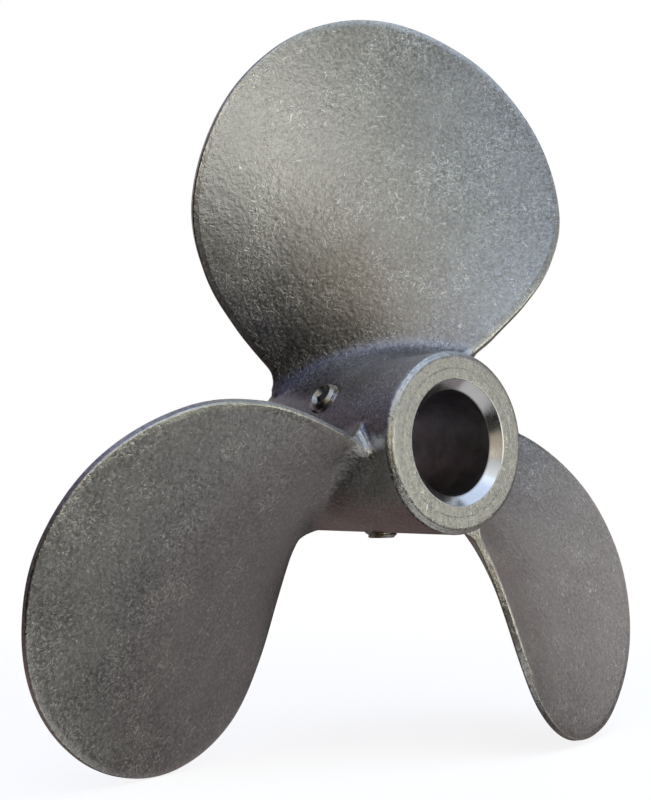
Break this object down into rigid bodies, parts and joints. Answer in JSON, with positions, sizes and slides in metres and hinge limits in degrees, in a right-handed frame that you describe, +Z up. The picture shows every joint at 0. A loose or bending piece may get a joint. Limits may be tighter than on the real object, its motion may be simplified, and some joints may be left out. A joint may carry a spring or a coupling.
{
  "type": "boat propeller",
  "caption": "Cast stainless steel boat propeller: broad rounded twisted blades on a short hub with a plain chamfered bore, clamped to its shaft by radial hex-socket set screws.",
  "frame": {"origin": "on the shaft axis, at the middle of the hub's length", "axes": "+Y along the shaft axis towards the hub's rear end, +Z up the centreline of the first blade, +X to the right seen from the front"},
  "size_m": [0.1516, 0.0412, 0.1403],
  "materials": {
    "cast_stainless": "tumbled cast stainless steel, fine satin grain with small nicks, brighter on worn edges",
    "screw_steel": "plain machined stainless steel"
  },
  "bodies": {
    "propeller": {"propeller_casting": "cast_stainless"},
    "upper_screw": {"set_screw_upper": "screw_steel"},
    "lower_screw": {"set_screw_lower": "screw_steel"}
  },
  "joints": [
    {"name": "upper_screw_drive", "type": "slide", "parent": "propeller", "child": "upper_screw", "axis": [0.848, 0, -0.5299], "range_m": [-0.004, 0.002]},
    {"name": "lower_screw_drive", "type": "slide", "parent": "propeller", "child": "lower_screw", "axis": [-0.0349, 0, 0.9994], "range_m": [-0.004, 0.002]}
  ]
}
